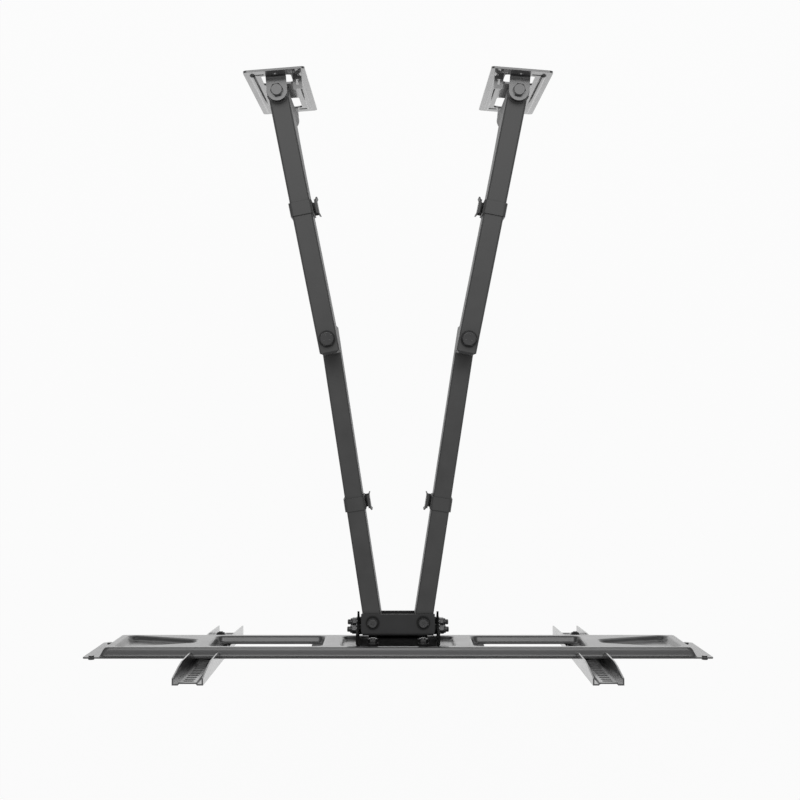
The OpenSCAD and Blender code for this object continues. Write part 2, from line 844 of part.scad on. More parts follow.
// Round-headed bolts, put in from the television's side
module yoke_bolts() {
    color(arm_grey) at_head() at_yoke_bolts() rotate([-90, 0, 0]) {
        translate([0, 0, -tv_t - 3]) intersection() {
            cylinder(h = 3, r = 9);
            translate([0, 0, 14]) sphere(14);
        }
        translate([0, 0, -tv_t - hair])
            cylinder(h = tv_t + yoke_t + 1 + small_washer[1] + small_nut_h + 1, r = small_bolt_r);
    }
}

module yoke_washers() {
    color(steel) at_head() at_yoke_bolts() rotate([-90, 0, 0])
        translate([0, 0, yoke_t + 1]) washer(small_washer[0], small_bolt_r + fit, small_washer[1]);
}

module yoke_nuts() {
    color(steel) at_head() at_yoke_bolts() rotate([-90, 0, 0])
        translate([0, 0, yoke_t + 1 + small_washer[1]]) hex_nut(small_across, small_nut_h, small_bolt_r);
}

// Television plate, drawn about the middle of its flat lip's front face

// Everything behind the sheet's back face, or, with a skin taken off, behind its front face
module tv_form(skin) {
    tray = [tv_w - 2 * tv_end_lip - 2 * skin, tv_h - 2 * tv_lip - 2 * skin];
    top = tv_t + tv_press - skin;
    foot = skin > 0 ? -cut : 0;
    difference() {
        hull() {
            along_y(foot, hair) round_rect(tray.x, tray.y, tray_corner_r - skin, $fn = 32);
            along_y(top - hair, top) round_rect(tray.x - 2 * end_run, tray.y - 2 * wall_run,
                tray_corner_r - wall_run, $fn = 32);
        }
        // windows, with a flat rim round each opening
        both_sides() translate([(tv_window_in - window_rim[0] + tv_window_out + window_rim[1]) / 2,
            top - window_depth, 0])
            tv_pocket(tv_window_out - tv_window_in + window_rim[0] + window_rim[1],
                tv_window_h + 2 * window_rim[2], window_depth, skin);
        // tapered pockets at both ends
        both_sides() translate([0, top - pocket_depth, 0]) hull() {
            along_y(0, hair) tv_end_pocket(skin);
            along_y(pocket_depth, pocket_depth + cut) tv_end_pocket(skin + wall_run);
        }
        // recess for the yoke
        translate([0, top - recess, 0]) tv_pocket(recess_w, recess_h, recess, skin);
    }
}

// Pocket that widens as it rises, grown by the skin on every side
module tv_pocket(w, h, depth, skin) {
    grown = 2 * (skin + wall_run);
    mirror([0, 1, 0]) translate([0, -depth - cut, 0])
        mitred_block(w + grown, h + grown, tray_corner_r, depth + cut, wall_run);
}

module tv_end_pocket(grow) {
    r = 8;
    for (at = [[pocket[0], pocket_half[0]], [pocket[1], pocket_half[1]]], z = [-1, 1])
        translate([at[0] + (at[0] == pocket[0] ? -r : r), z * (at[1] - r)]) circle(r + grow, $fn = 32);
}

module tv_plate() {
    color(steel) at_tv_plate() difference() {
        union() {
            along_y(0, tv_t) round_rect(tv_w, tv_h, tv_corner_r);
            tv_form(0);
        }
        tv_form(tv_t);
        both_sides() along_y(-2 * cut, tv_t + tv_press)
            translate([(tv_window_in + tv_window_out) / 2, 0])
                round_rect(tv_window_out - tv_window_in, tv_window_h, tray_corner_r);
        translate([0, -tv_y, -tv_z]) at_yoke_bolts() along_y(-tv_press, cut) circle(small_bolt_r + fit);
        at_stops() along_y(-cut, tv_t + cut) circle(2.5 + fit);
    }
}

module at_stops() {
    for (x = [-stop_x, stop_x], z = [-stop_z, stop_z])
        translate([x, 0, z]) children();
}

// Rivets that keep the rails from sliding off the ends
module rail_stops() {
    color(black) at_tv_plate() at_stops() {
        along_y(-2.5, 0) circle(4.5);
        along_y(-hair, tv_t + hair) circle(2.5);
        along_y(tv_t, tv_t + 1.5) circle(4);
    }
}

// Television rails, drawn about the point where the rail crosses the middle of the plate

// The folded section, drawn in X and Y: flanges, two long beads and the web between them
module rail_section() {
    difference() {
        rail_shell(0, 0);
        rail_shell(rail_t, cut);
    }
}

// The section's outside, or, with a skin taken off and some overshoot, its hollow
module rail_shell(skin, over) {
    half = rail_w / 2 - skin;
    foot = rail_back - rail_t - bead + skin;
    step = rail_w / 2 - bead_w + skin / 4;
    polygon([[-half, foot], [-step, foot], [-step + bead_slope, foot + bead],
        [step - bead_slope, foot + bead], [step, foot], [half, foot],
        [half, rail_rise + over], [-half, rail_rise + over]]);
}

// Side view of the flanges, drawn in Y and Z: hook over the plate's upper edge, open seat below it
module rail_side() {
    foot = rail_back - rail_t - bead - cut;
    top = rail_len / 2;
    seat = tv_h / 2 + slide_gap;
    lip_y = tv_t + slide_gap;
    polygon([[foot, -top], [rail_foot_rise, -top], [rail_rise, -seat - 40], [rail_rise, -seat - 4],
        [-slide_gap, -seat], [-slide_gap, seat], [lip_y, seat], [lip_y, seat - hook_lip],
        [lip_y + 5, seat - hook_lip], [rail_rise, seat + 6], [rail_rise, top - rail_ramp[1]],
        [rail_mid_rise, top - rail_ramp[0]], [rail_end_rise, top], [foot, top]]);
}

module tv_rail(side) {
    color(steel) at_rail(side) difference() {
        intersection() {
            linear_extrude(rail_len, center = true) rail_section();
            along_x(-rail_w, rail_w) rail_side();
        }
        for (i = [slots_from : slots_to], end = [-1, 1])
            translate([0, 0, end * i * slot_pitch])
                along_y(rail_back - rail_t - cut, rail_back + cut) obround(slot_w, slot_h / 2);
    }
}

// Folded plate across the rail below the television plate, which carries the lock screw
module rail_lock_plate(side) {
    inside = rail_w / 2 - rail_t;
    color(steel) at_rail(side) difference() {
        union() {
            translate([-inside, rail_back, lock_plate_z])
                cube([2 * inside, rail_rise - rail_back, lock_plate_t]);
            translate([-inside, rail_back, lock_plate_z - 12]) cube([2 * inside, lock_plate_t, 12]);
        }
        translate([0, lock_y, lock_plate_z - cut])
            cylinder(h = lock_plate_t + 2 * cut, r = lock_screw_r + fit);
    }
}

// Thumb screw whose tip stands behind the plate's lower edge, so that the rail can't swing off
module rail_lock_screw(side) {
    tip = -tv_h / 2 + 3.4;
    color(black) at_rail(side) translate([0, lock_y, 0]) {
        translate([0, 0, lock_plate_z - lock_knob[1]]) cylinder(h = lock_knob[1], r = lock_knob[0]);
        translate([0, 0, lock_plate_z - hair]) cylinder(h = tip - lock_plate_z + hair, r = lock_screw_r);
    }
}

wall_plate(LEFT);  // wall_plate_left
wall_plate(RIGHT);  // wall_plate_right
wall_pivot_bolts(LEFT);  // wall_pivot_bolts_left
wall_pivot_bolts(RIGHT);  // wall_pivot_bolts_right
wall_pivot_washers(LEFT);  // wall_pivot_washers_left
wall_pivot_washers(RIGHT);  // wall_pivot_washers_right
rear_arm(LEFT);  // rear_arm_left
rear_arm(RIGHT);  // rear_arm_right
rear_arm_cap(LEFT);  // rear_arm_cap_left
rear_arm_cap(RIGHT);  // rear_arm_cap_right
elbow_bolt(LEFT);  // elbow_bolt_left
elbow_bolt(RIGHT);  // elbow_bolt_right
elbow_washers(LEFT);  // elbow_washers_left
elbow_washers(RIGHT);  // elbow_washers_right
elbow_nut(LEFT);  // elbow_nut_left
elbow_nut(RIGHT);  // elbow_nut_right
front_arm(LEFT);  // front_arm_left
front_arm(RIGHT);  // front_arm_right
front_arm_cap(LEFT);  // front_arm_cap_left
front_arm_cap(RIGHT);  // front_arm_cap_right
rear_cable_clip(LEFT);  // rear_cable_clip_left
rear_cable_clip(RIGHT);  // rear_cable_clip_right
front_cable_clip(LEFT);  // front_cable_clip_left
front_cable_clip(RIGHT);  // front_cable_clip_right
hub_housing();
hub_pivot_bolts();
hub_pivot_washers();
hub_nylon_washers(LEFT);  // hub_nylon_washers_left
hub_nylon_washers(RIGHT);  // hub_nylon_washers_right
hub_pivot_nuts();
tilt_bolts();
tilt_spacers();
tilt_washers();
tilt_nuts();
tilt_yoke();
yoke_bolts();
yoke_washers();
yoke_nuts();
tv_plate();
rail_stops();
tv_rail(LEFT);  // tv_rail_left
tv_rail(RIGHT);  // tv_rail_right
rail_lock_plate(LEFT);  // rail_lock_plate_left
rail_lock_plate(RIGHT);  // rail_lock_plate_right
rail_lock_screw(LEFT);  // rail_lock_screw_left
rail_lock_screw(RIGHT);  // rail_lock_screw_right
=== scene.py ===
"""Looks of a long-reach television wall mount in satin black steel, seen from straight above.

Lengths are in millimetres unless a name or a docstring says metres.
"""

import json
import logging
import math
from dataclasses import dataclass
from enum import Enum
from typing import Dict, List, Sequence, Tuple, Union

import bmesh
import bpy
from mathutils import Matrix, Vector

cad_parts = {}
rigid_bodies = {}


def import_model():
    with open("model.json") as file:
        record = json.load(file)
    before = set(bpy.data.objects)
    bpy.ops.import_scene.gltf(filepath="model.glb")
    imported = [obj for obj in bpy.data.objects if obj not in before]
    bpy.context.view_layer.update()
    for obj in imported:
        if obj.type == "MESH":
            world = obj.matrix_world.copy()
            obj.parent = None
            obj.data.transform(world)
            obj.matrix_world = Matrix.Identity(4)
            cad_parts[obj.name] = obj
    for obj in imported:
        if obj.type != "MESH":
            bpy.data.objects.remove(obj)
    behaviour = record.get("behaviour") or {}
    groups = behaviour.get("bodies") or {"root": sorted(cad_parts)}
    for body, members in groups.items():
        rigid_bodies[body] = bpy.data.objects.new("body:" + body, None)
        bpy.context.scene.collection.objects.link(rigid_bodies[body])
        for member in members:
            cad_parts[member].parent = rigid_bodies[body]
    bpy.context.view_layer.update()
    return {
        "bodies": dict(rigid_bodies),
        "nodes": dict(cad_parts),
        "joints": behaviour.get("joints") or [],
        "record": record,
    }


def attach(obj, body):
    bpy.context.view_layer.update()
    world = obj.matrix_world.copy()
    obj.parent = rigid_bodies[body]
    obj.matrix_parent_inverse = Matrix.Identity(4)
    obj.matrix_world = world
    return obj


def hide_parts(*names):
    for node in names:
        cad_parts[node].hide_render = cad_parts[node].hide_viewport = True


LOG = logging.getLogger("wall_mount")
MM = 0.001
MERGE_METRES = 1e-6
GRID_DECIMALS = 5

CLOUDS_PER_METRE = 22.0
CLOUD_DETAIL, CLOUD_ROUGHNESS, GRAIN_DETAIL = 5.0, 0.6, 2.0
NOISE_LOW, NOISE_HIGH = 0.3, 0.7
BEVEL_SAMPLES = 6
GRAIN_STRENGTH = 0.55
EDGE_STARTS, EDGE_FULL = 0.995, 0.80
SHADE_DARK, SHADE_LIGHT = 0.86, 1.14
# Least and most share of the edge colour along edges; it paints wear together with painted highlights and painted
# shade.
EDGE_WEAR_AND_SHADING_LEAST, EDGE_WEAR_AND_SHADING_MOST = 0.35, 0.8

Colour = Tuple[float, float, float]
Point = Tuple[float, float, float]
Profile = Tuple[Tuple[float, float], ...]
MeshPart = Tuple[List[Vector], List[List[int]]]
Socket = bpy.types.NodeSocket


class Side(Enum):
    """The two handed sides of the mount, as the sign of X."""

    LEFT = -1
    RIGHT = 1

    @property
    def word(self) -> str:
        """The side's name as the nodes and bodies use it."""
        return self.name.lower()

    @property
    def mirror(self) -> Matrix:
        """The matrix that makes this side's part of a left-hand part."""
        return Matrix.Diagonal((float(-self.value), 1.0, 1.0, 1.0))


class NodeTree:
    """The shader nodes of a material or of the world, added and wired one by one."""

    def __init__(self, owner: Union[bpy.types.Material, bpy.types.World]) -> None:
        """Gives the owner an empty node tree.

        Args:
            owner: The material or the world.
        """
        owner.use_nodes = True
        self.owner = owner
        self.tree = owner.node_tree
        self.tree.nodes.clear()

    def add(self, kind: str, **sockets: object) -> bpy.types.Node:
        """Adds one node.

        Args:
            kind: Blender's name of the node type.
            **sockets: Values of its inputs, by socket name with underscores for spaces.

        Returns:
            The new node.
        """
        made = self.tree.nodes.new(kind)
        for name, value in sockets.items():
            made.inputs[name.replace("_", " ")].default_value = value
        return made

    def wire(self, source: Socket, target: Socket) -> None:
        """Joins an output to an input."""
        self.tree.links.new(source, target)

    def end(self, kind: str, shader: Socket) -> None:
        """Adds the output node and joins a shader to its surface."""
        self.wire(shader, self.add(kind).inputs["Surface"])

    def spread(self, source: Socket, low: float, high: float) -> Socket:
        """Maps the middle of a noise value's range to a range of its own.

        Args:
            source: The noise value.
            low: The result at NOISE_LOW and below.
            high: The result at NOISE_HIGH and above.

        Returns:
            The mapped value.
        """
        scale = self.add("ShaderNodeMapRange", From_Min=NOISE_LOW, From_Max=NOISE_HIGH, To_Min=low, To_Max=high)
        self.wire(source, scale.inputs["Value"])
        return scale.outputs["Result"]

    def combine(self, operation: str, first: Socket, second: Union[Socket, float]) -> Socket:
        """Joins two values by one step of arithmetic.

        Args:
            operation: Blender's name of the operation.
            first: One value.
            second: The other, as a socket or a plain number.

        Returns:
            The result.
        """
        step = self.add("ShaderNodeMath")
        step.operation = operation
        self.wire(first, step.inputs[0])
        if isinstance(second, float):
            step.inputs[1].default_value = second
        else:
            self.wire(second, step.inputs[1])
        return step.outputs["Value"]


@dataclass(frozen=True)
class Finish:
    """A coated, moulded or blackened surface with its own grain and softened edges, whose edges get a colour of their
    own that stands partly for wear and partly for light: a painted highlight where it is lighter than the surface,
    painted shade where it is darker.
    """

    name: str
    colour: Colour
    edge_colour: Colour
    roughness: float
    roughness_swing: float
    grain_per_mm: float
    grain_depth_mm: float
    edge_radius_mm: float
    specular: float = 0.5
    coat: float = 0.0
    coat_roughness: float = 0.2

    def build(self) -> bpy.types.Material:
        """Makes the material.

        Returns:
            The finished node material.
        """
        nodes = NodeTree(bpy.data.materials.new(self.name))
        place = nodes.add("ShaderNodeTexCoord").outputs["Object"]
        cloud = nodes.add(
            "ShaderNodeTexNoise", Scale=CLOUDS_PER_METRE, Detail=CLOUD_DETAIL, Roughness=CLOUD_ROUGHNESS)
        grain = nodes.add("ShaderNodeTexNoise", Scale=self.grain_per_mm / MM, Detail=GRAIN_DETAIL)
        for noise in (cloud, grain):
            nodes.wire(place, noise.inputs["Vector"])
        round_edge = nodes.add("ShaderNodeBevel", Radius=self.edge_radius_mm * MM)
        round_edge.samples = BEVEL_SAMPLES
        bump = nodes.add("ShaderNodeBump", Strength=GRAIN_STRENGTH, Distance=self.grain_depth_mm * MM)
        nodes.wire(grain.outputs["Fac"], bump.inputs["Height"])
        nodes.wire(round_edge.outputs["Normal"], bump.inputs["Normal"])
        edge = self._edge_mask(nodes, round_edge.outputs["Normal"])
        shader = nodes.add("ShaderNodeBsdfPrincipled")
        shader.inputs["Specular IOR Level"].default_value = self.specular
        shader.inputs["Coat Weight"].default_value = self.coat
        shader.inputs["Coat Roughness"].default_value = self.coat_roughness
        nodes.wire(self._tint(nodes, cloud, grain, edge), shader.inputs["Base Color"])
        low, high = self.roughness - self.roughness_swing, self.roughness + self.roughness_swing
        nodes.wire(nodes.spread(cloud.outputs["Fac"], low, high), shader.inputs["Roughness"])
        nodes.wire(bump.outputs["Normal"], shader.inputs["Normal"])
        nodes.end("ShaderNodeOutputMaterial", shader.outputs["BSDF"])
        return nodes.owner

    @staticmethod
    def _edge_mask(nodes: NodeTree, rounded: Socket) -> Socket:
        """Finds where the rounded normal leaves the true one, which is along edges.

        Args:
            nodes: The material's nodes.
            rounded: The softened normal.

        Returns:
            A value that is 0 on flats and 1 on edges.
        """
        true = nodes.add("ShaderNodeNewGeometry").outputs["True Normal"]
        dot = nodes.add("ShaderNodeVectorMath")
        dot.operation = "DOT_PRODUCT"
        nodes.wire(true, dot.inputs[0])
        nodes.wire(rounded, dot.inputs[1])
        mask = nodes.add("ShaderNodeMapRange", From_Min=EDGE_STARTS, From_Max=EDGE_FULL, To_Min=0.0, To_Max=1.0)
        nodes.wire(dot.outputs["Value"], mask.inputs["Value"])
        return mask.outputs["Result"]

    def _tint(self, nodes: NodeTree, cloud: bpy.types.Node, grain: bpy.types.Node, edge: Socket) -> Socket:
        """Varies the colour a little, and paints the edges with a colour of their own, which stands partly for wear
        and partly for light: painted highlights on most finishes, painted shade on the carrier's folds.

        Args:
            nodes: The material's nodes.
            cloud: The broad noise.
            grain: The fine noise.
            edge: The edge mask.

        Returns:
            The surface colour.
        """
        broad = nodes.add("ShaderNodeMix")
        broad.data_type = "RGBA"
        broad.inputs["A"].default_value = (*[c * SHADE_DARK for c in self.colour], 1.0)
        broad.inputs["B"].default_value = (*[c * SHADE_LIGHT for c in self.colour], 1.0)
        nodes.wire(nodes.spread(cloud.outputs["Fac"], 0.0, 1.0), broad.inputs["Factor"])
        # The edges take the edge colour: wear, with painted highlights on most finishes and painted shade on the
        # carrier laid into it.
        worn_and_shaded = nodes.add("ShaderNodeMix")
        worn_and_shaded.data_type = "RGBA"
        worn_and_shaded.inputs["B"].default_value = (*self.edge_colour, 1.0)
        share = nodes.combine("MULTIPLY", edge, nodes.spread(grain.outputs["Fac"], EDGE_WEAR_AND_SHADING_LEAST, EDGE_WEAR_AND_SHADING_MOST))
        nodes.wire(share, worn_and_shaded.inputs["Factor"])
        nodes.wire(broad.outputs["Result"], worn_and_shaded.inputs["A"])
        return worn_and_shaded.outputs["Result"]


# Edge colours lighter than their coats paint highlights along the rounded edges, together with wear.
SHEET_COAT = Finish(
    name="satin_black_sheet", colour=(0.045, 0.045, 0.046), edge_colour=(0.11, 0.11, 0.11),
    roughness=0.34, roughness_swing=0.05, edge_radius_mm=0.7, grain_per_mm=1.6, grain_depth_mm=0.02,
    specular=0.8, coat=1.0, coat_roughness=0.12)
TUBE_COAT = Finish(
    name="satin_black_tube", colour=(0.062, 0.062, 0.062), edge_colour=(0.16, 0.16, 0.16),
    roughness=0.44, roughness_swing=0.05, edge_radius_mm=1.2, grain_per_mm=1.4, grain_depth_mm=0.03,
    specular=0.45)
# Its light edge colour paints glints on the fasteners' chamfers and edges.
BLACK_OXIDE = Finish(
    name="black_oxide", colour=(0.026, 0.026, 0.027), edge_colour=(0.26, 0.26, 0.26),
    roughness=0.20, roughness_swing=0.06, edge_radius_mm=0.7, grain_per_mm=3.0, grain_depth_mm=0.02,
    specular=0.7, coat=0.5, coat_roughness=0.08)
DARK_WASHER = Finish(
    name="dark_washer", colour=(0.008, 0.008, 0.008), edge_colour=(0.05, 0.05, 0.05),
    roughness=0.36, roughness_swing=0.05, edge_radius_mm=0.4, grain_per_mm=2.0, grain_depth_mm=0.02,
    specular=0.3)
MOULDED = Finish(
    name="moulded_black", colour=(0.020, 0.020, 0.021), edge_colour=(0.04, 0.04, 0.04),
    roughness=0.50, roughness_swing=0.05, edge_radius_mm=0.5, grain_per_mm=2.2, grain_depth_mm=0.03,
    specular=0.4)
CLIP = Finish(
    name="moulded_clip", colour=(0.060, 0.060, 0.060), edge_colour=(0.10, 0.10, 0.10),
    roughness=0.44, roughness_swing=0.05, edge_radius_mm=0.6, grain_per_mm=1.8, grain_depth_mm=0.03,
    specular=0.45)
NYLON = Finish(
    name="black_nylon", colour=(0.016, 0.016, 0.017), edge_colour=(0.03, 0.03, 0.03),
    roughness=0.55, roughness_swing=0.04, edge_radius_mm=0.3, grain_per_mm=1.2, grain_depth_mm=0.02,
    specular=0.4)
WELD = Finish(
    name="coated_weld", colour=(0.045, 0.045, 0.046), edge_colour=(0.09, 0.09, 0.09),
    roughness=0.34, roughness_swing=0.06, edge_radius_mm=0.3, grain_per_mm=0.9, grain_depth_mm=0.10,
    specular=0.6, coat=0.3)
# A darker, less glossy copy of the black coat: its darker colour paints the shade that falls over the hub as the
# arms' tops shade off towards the head.
HUB_SHADED_COAT = Finish(
    name="hub_black_coat", colour=(0.036, 0.036, 0.037), edge_colour=(0.09, 0.09, 0.09),
    roughness=0.46, roughness_swing=0.05, edge_radius_mm=1.0, grain_per_mm=1.6, grain_depth_mm=0.03,
    specular=0.35)
# A near-black, matt copy of the coat: painted shade for the deep gap between the hub and the carrier plate, where the
# yoke and its flange sit.
YOKE_SHADE_COAT = Finish(
    name="yoke_black_coat", colour=(0.010, 0.010, 0.010), edge_colour=(0.03, 0.03, 0.03),
    roughness=0.78, roughness_swing=0.05, edge_radius_mm=1.0, grain_per_mm=1.6, grain_depth_mm=0.03,
    specular=0.10)
# Its edge colour is darker than the coat: painted shade in the rounded folds and along the pressings' rims.
CARRIER_COAT = Finish(
    name="carrier_black_coat", colour=(0.045, 0.045, 0.046), edge_colour=(0.012, 0.012, 0.012),
    roughness=0.38, roughness_swing=0.05, edge_radius_mm=2.6, grain_per_mm=1.6, grain_depth_mm=0.02,
    specular=0.6, coat=0.8, coat_roughness=0.16)

FINISH_OF_SLOT: Dict[str, Finish] = {
    "black_sheet": SHEET_COAT,
    "black_tube": TUBE_COAT,
    "black_fastener": BLACK_OXIDE,
    "black_plastic": MOULDED,
    "black_nylon": NYLON,
}

FINISH_OF_NODE: Dict[str, Finish] = {
    "hub_housing": HUB_SHADED_COAT,
    "hub_pivot_washers": DARK_WASHER,
    "tilt_yoke": YOKE_SHADE_COAT,
    "tv_plate": CARRIER_COAT,
    "rear_cable_clip_left": CLIP,
    "rear_cable_clip_right": CLIP,
    "front_cable_clip_left": CLIP,
    "front_cable_clip_right": CLIP,
}


class FinishShelf:
    """Builds each finish once and hands it out."""

    def __init__(self) -> None:
        """Starts with no finish built."""
        self._built: Dict[str, bpy.types.Material] = {}

    def get(self, finish: Finish) -> bpy.types.Material:
        """Returns the finish's material, making it the first time.

        Args:
            finish: The finish wanted.

        Returns:
            Its material.
        """
        if finish.name not in self._built:
            self._built[finish.name] = finish.build()
        return self._built[finish.name]

    def dress(self, obj: bpy.types.Object, finish: Finish) -> None:
        """Puts a finish on every material slot of an object.

        Args:
            obj: The object.
            finish: Its finish.
        """
        if not obj.material_slots:
            obj.data.materials.append(self.get(finish))
        for slot in obj.material_slots:
            slot.material = self.get(finish)


@dataclass(frozen=True)
class Placement:
    """Where a sub-assembly's own frame stands in the mount, with its turn about Z and lean about X in degrees."""

    origin: Point
    turn: float = 0.0
    lean: float = 0.0

    def matrix(self, side: Side) -> Matrix:
        """The placing matrix for one side.

        Args:
            side: LEFT as drawn, RIGHT mirrored.

        Returns:
            A matrix from local millimetres to metres in the mount's frame.
        """
        move = Matrix.Translation(Vector(self.origin) * MM)
        turn = Matrix.Rotation(math.radians(self.turn), 4, "Z") @ Matrix.Rotation(math.radians(self.lean), 4, "X")
        return side.mirror @ move @ turn @ Matrix.Scale(MM, 4)


def mesh_object(name: str, verts: Sequence[Vector], faces: Sequence[Sequence[int]], smooth: bool) -> bpy.types.Object:
    """Makes a mesh object with outward normals.

    Args:
        name: The object's name.
        verts: Its points, in metres in the mount's frame.
        faces: Its faces, as rows of point numbers.
        smooth: Whether its faces are shaded smooth.

    Returns:
        The object, linked to the scene.
    """
    mesh = bpy.data.meshes.new(name)
    mesh.from_pydata([tuple(v) for v in verts], [], [tuple(f) for f in faces])
    work = bmesh.new()
    work.from_mesh(mesh)
    bmesh.ops.remove_doubles(work, verts=work.verts, dist=MERGE_METRES)
    bmesh.ops.recalc_face_normals(work, faces=work.faces)
    work.to_mesh(mesh)
    work.free()
    mesh.polygons.foreach_set("use_smooth", [smooth] * len(mesh.polygons))
    obj = bpy.data.objects.new(name, mesh)
    bpy.context.scene.collection.objects.link(obj)
    return obj


def swept(rings: Sequence[Sequence[Vector]]) -> MeshPart:
    """Skins a row of closed rings that all have the same number of points, and caps both ends.

    Args:
        rings: The rings in order.

    Returns:
        The points and the faces.
    """
    count = len(rings[0])
    verts = [p for ring in rings for p in ring]
    faces: List[List[int]] = []
    for row in range(len(rings) - 1):
        for i in range(count):
            j = (i + 1) % count
            faces.append([row * count + i, row * count + j, (row + 1) * count + j, (row + 1) * count + i])
    faces.append(list(range(count))[::-1])
    last = (len(rings) - 1) * count
    faces.append([last + i for i in range(count)])
    return verts, faces


def turned(profile: Sequence[Tuple[float, float]], place: Matrix, sides: int = 32) -> MeshPart:
    """Turns a profile about the local Z axis.

    Args:
        profile: Rows of height and radius.
        place: The matrix from local millimetres to the mount's frame.
        sides: How many points go round.

    Returns:
        The points and the faces.
    """
    angles = [2 * math.pi * k / sides for k in range(sides)]
    return swept([[place @ Vector((r * math.cos(a), r * math.sin(a), z)) for a in angles] for z, r in profile])


@dataclass(frozen=True)
class ThreadedEnd:
    """The few turns of thread that show beyond a nut. The bolt's axis is the local Z axis."""

    radius: float
    pitch: float
    start: float
    length: float
    depth: float = 0.45
    steps: int = 36
    lead_in: float = 0.3
    least_turns: float = 0.8
    fade_in: float = 6.0
    least_rise: float = 0.02
    root: float = -0.1
    flank_share: float = 0.85
    root_half: float = 0.42
    crest_half: float = 0.12

    def mesh_part(self, place: Matrix) -> MeshPart:
        """Winds one rounded ridge round the shank, fading in and out at its ends.

        Args:
            place: The matrix from local millimetres to the mount's frame.

        Returns:
            The ridge's points and faces.
        """
        total = int(max(self.length / self.pitch - 2 * self.lead_in, self.least_turns) * self.steps)
        rows: List[List[Vector]] = []
        for k in range(total + 1):
            angle = 2 * math.pi * k / self.steps
            z = self.start + self.lead_in * self.pitch + self.pitch * k / self.steps
            from_end = min(k, total - k) / self.steps
            crest = min(1.0, self.fade_in * from_end) * self.depth + self.least_rise
            flank = crest * self.flank_share
            section = ((self.root, -self.root_half), (flank, -self.crest_half), (crest, 0.0),
                       (flank, self.crest_half), (self.root, self.root_half))
            ring = []
            for rise, along in section:
                r = self.radius + rise
                ring.append(place @ Vector((r * math.cos(angle), r * math.sin(angle), z + along * self.pitch)))
            rows.append(ring)
        return swept(rows)


@dataclass(frozen=True)
class WeldBead:
    """A rippled fillet laid along a path of local points, each with the way that the bead bulges."""

    width: float
    ripple: float
    ripple_pitch: float
    end_share: float = 0.45
    height_share: float = 0.8
    sides: int = 10

    def mesh_part(self, path: Sequence[Vector], bulge: Sequence[Vector], place: Matrix) -> MeshPart:
        """Skins the bead.

        Args:
            path: Centre points, in local millimetres.
            bulge: The outward direction at each point.
            place: The matrix from local millimetres to the mount's frame.

        Returns:
            The bead's points and faces.
        """
        rows: List[List[Vector]] = []
        run = 0.0
        last = len(path) - 1
        for k, point in enumerate(path):
            ahead = path[min(k + 1, last)] - path[max(k - 1, 0)]
            if k:
                run += (point - path[k - 1]).length
            size = self.width / 2 * (1 + self.ripple * math.sin(2 * math.pi * run / self.ripple_pitch))
            if k in (0, last):
                size *= self.end_share
            out = bulge[k].normalized()
            across = ahead.normalized().cross(out)
            ring = []
            for i in range(self.sides):
                a = 2 * math.pi * i / self.sides
                rise = size * self.height_share * math.sin(a)
                ring.append(place @ (point + across * (size * math.cos(a)) + out * rise))
            rows.append(ring)
        return swept(rows)


@dataclass(frozen=True)
class MountSizes:
    """The sizes of the mount that the looks need, as the solids have them. Angles are in degrees."""

    hub_pivot_x: float = 37.5
    front_length: float = 424.0
    front_angle: float = 8.7
    rear_length: float = 360.0
    rear_angle: float = 11.3
    pivot_off: float = 23.5
    plate_turn: float = 4.6
    rear_top: float = 92.0
    front_top: float = 25.0
    post_r: float = 15.0
    hub_front: float = 20.0
    tilt_drop: float = 39.0
    tilt_ahead: float = 4.0
    rest_tilt: float = 3.1
    tv_y: float = -26.8
    tv_z: float = 37.6
    tv_half_height: float = 65.0
    rail_x: float = 281.0
    tilt_nut_end: float = 70.9
    lock_radius: float = 21.0
    lock_angle: float = 20.0
    yoke_base_in: float = -12.8
    yoke_low: float = 0.6

    @property
    def lock_offset(self) -> Tuple[float, float]:
        """Where a lock bolt lies from its tilt pivot, as Y and Z."""
        a = math.radians(self.lock_angle)
        return (self.lock_radius * math.sin(a), -self.lock_radius * math.cos(a))

    @property
    def wall_pivot(self) -> Point:
        """Finds the left wall pivot from the hub, through both arms.

        Returns:
            Its place.
        """
        x = -self.hub_pivot_x - self.front_length * math.sin(math.radians(self.front_angle))
        x -= self.rear_length * math.sin(math.radians(self.rear_angle))
        return (x, -self.pivot_off * math.cos(math.radians(self.plate_turn)), 0.0)

    @property
    def elbow(self) -> Point:
        """Finds the left elbow at the end of the rear arm.

        Returns:
            Its place.
        """
        x, y, _ = self.wall_pivot
        a = math.radians(self.rear_angle)
        return (x + self.rear_length * math.sin(a), y - self.rear_length * math.cos(a), 0.0)

    @property
    def hub_y(self) -> float:
        """The hub pivots' distance from the wall, negative."""
        return self.elbow[1] - self.front_length * math.cos(math.radians(self.front_angle))

    @property
    def tilt_y(self) -> float:
        """The tilt pivots' distance from the wall, negative."""
        return self.hub_y - self.hub_front - self.tilt_ahead

    @property
    def rear_arm(self) -> Placement:
        """The left rear arm's frame."""
        return Placement(self.wall_pivot, self.rear_angle)

    @property
    def front_arm(self) -> Placement:
        """The left front arm's frame."""
        return Placement(self.elbow, self.front_angle)

    @property
    def head(self) -> Placement:
        """The tilting head's frame."""
        return Placement((0.0, self.tilt_y, -self.tilt_drop), 0.0, -self.rest_tilt)


